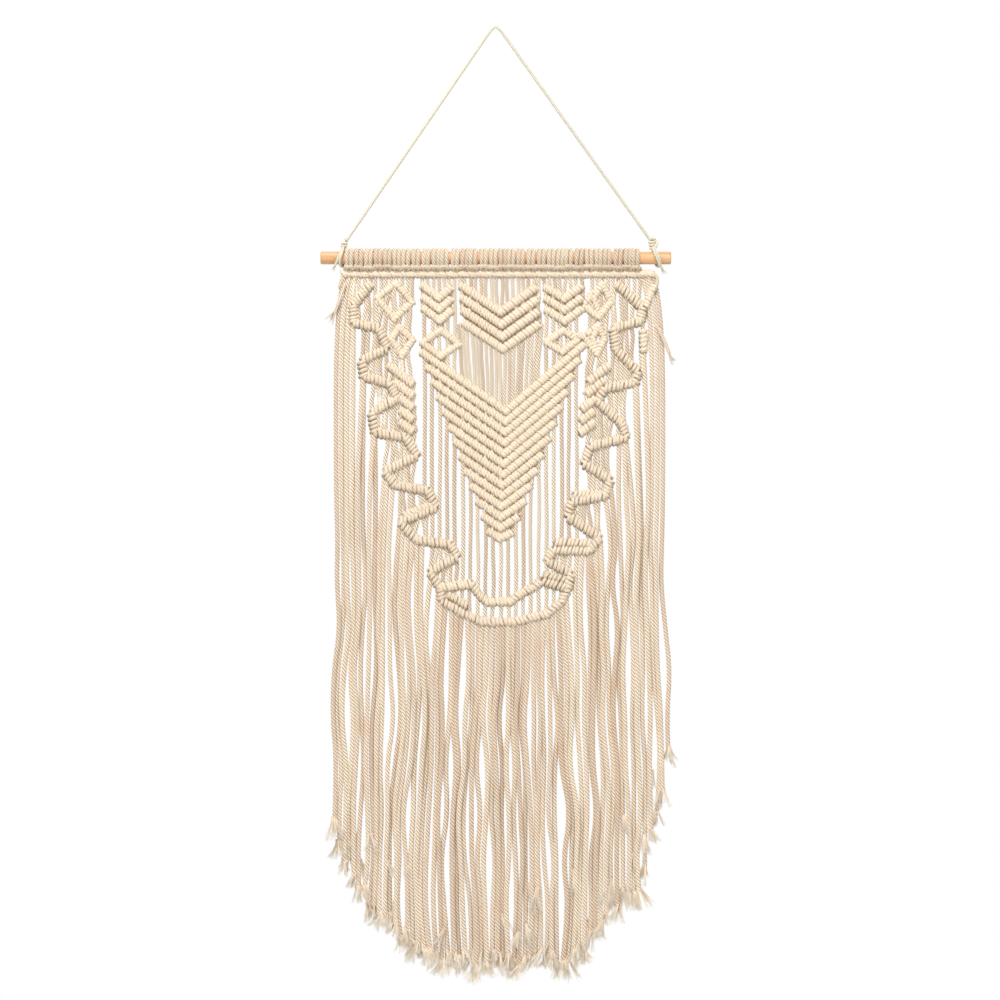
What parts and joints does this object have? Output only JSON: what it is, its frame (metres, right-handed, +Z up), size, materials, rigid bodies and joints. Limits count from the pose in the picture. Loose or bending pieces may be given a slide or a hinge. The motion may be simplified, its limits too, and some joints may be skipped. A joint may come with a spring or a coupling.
{
  "type": "macrame wall hanging",
  "caption": "Knotted cotton cord wall hanging on a wooden dowel, with an arrow of hitched rows inside a curved band and a long cord fringe.",
  "frame": {"origin": "top of the hanger cord, where it rests on its hook", "axes": "+Z up, +X the viewer's right along the dowel, +Y into the wall, so the front faces -Y"},
  "size_m": [0.35, 0.0216, 0.9398],
  "materials": {
    "dowel_wood": "plain sanded softwood",
    "cotton_cord": "twisted cotton, matt",
    "fringe_cord": "twisted cotton, matt, frayed at the cut ends",
    "hanger_cord": "thin twisted cotton, matt"
  },
  "bodies": {
    "hanger": {"hanger_cord": "hanger_cord", "hanger_knot_left": "hanger_cord", "hanger_knot_right": "hanger_cord"},
    "panel": {"arrow_row_01": "cotton_cord", "arrow_row_02": "cotton_cord", "arrow_row_03": "cotton_cord", "arrow_row_04": "cotton_cord", "arrow_row_05": "cotton_cord", "arrow_row_06": "cotton_cord", "arrow_row_07": "cotton_cord", "arrow_row_08": "cotton_cord", "arrow_row_09": "cotton_cord", "arrow_row_10": "cotton_cord", "arrow_row_11": "cotton_cord", "arrow_row_12": "cotton_cord", "arrow_row_13": "cotton_cord", "band_bottom": "cotton_cord", "band_left_1": "cotton_cord", "band_left_2": "cotton_cord", "band_left_3": "cotton_cord", "band_left_4": "cotton_cord", "band_left_5": "cotton_cord", "band_left_6": "cotton_cord", "band_right_1": "cotton_cord", "band_right_2": "cotton_cord", "band_right_3": "cotton_cord", "band_right_4": "cotton_cord", "band_right_5": "cotton_cord", "band_right_6": "cotton_cord", "centre_chevron_1": "cotton_cord", "centre_chevron_2": "cotton_cord", "centre_chevron_3": "cotton_cord", "centre_chevron_4": "cotton_cord", "cords_centre": "cotton_cord", "cords_left": "cotton_cord", "cords_right": "cotton_cord", "cords_under_arrow": "cotton_cord", "dowel": "dowel_wood", "fringe_top_centre": "fringe_cord", "fringe_top_inner_left": "fringe_cord", "fringe_top_inner_right": "fringe_cord", "fringe_top_outer_left": "fringe_cord", "fringe_top_outer_right": "fringe_cord", "header_hitches": "cotton_cord", "header_holding_cord": "cotton_cord", "inner_diamond_left": "cotton_cord", "inner_diamond_right": "cotton_cord", "larks_heads": "cotton_cord", "leaf_left": "cotton_cord", "leaf_right": "cotton_cord", "outer_diamonds_left": "cotton_cord", "outer_diamonds_right": "cotton_cord", "side_column": "cotton_cord", "small_chevrons_left": "cotton_cord", "small_chevrons_right": "cotton_cord"},
    "fringe_outer_left": {"fringe_outer_left": "fringe_cord"},
    "fringe_inner_left": {"fringe_inner_left": "fringe_cord"},
    "fringe_centre": {"fringe_centre": "fringe_cord"},
    "fringe_inner_right": {"fringe_inner_right": "fringe_cord"},
    "fringe_outer_right": {"fringe_outer_right": "fringe_cord"}
  },
  "joints": [
    {"name": "panel_swing", "type": "hinge", "parent": "hanger", "child": "panel", "pos_m": [0.0003, 0, -0.231], "axis": [-1, 0, 0], "range_deg": [0, 75]},
    {"name": "fringe_outer_left_lift", "type": "hinge", "parent": "panel", "child": "fringe_outer_left", "pos_m": [0, 0, -0.465], "axis": [-1, 0, 0], "range_deg": [0, 60]},
    {"name": "fringe_inner_left_lift", "type": "hinge", "parent": "panel", "child": "fringe_inner_left", "pos_m": [0, 0, -0.59], "axis": [-1, 0, 0], "range_deg": [0, 60]},
    {"name": "fringe_centre_lift", "type": "hinge", "parent": "panel", "child": "fringe_centre", "pos_m": [0, 0, -0.608], "axis": [-1, 0, 0], "range_deg": [0, 60]},
    {"name": "fringe_inner_right_lift", "type": "hinge", "parent": "panel", "child": "fringe_inner_right", "pos_m": [0, 0, -0.59], "axis": [-1, 0, 0], "range_deg": [0, 60]},
    {"name": "fringe_outer_right_lift", "type": "hinge", "parent": "panel", "child": "fringe_outer_right", "pos_m": [0, 0, -0.465], "axis": [-1, 0, 0], "range_deg": [0, 60]}
  ]
}
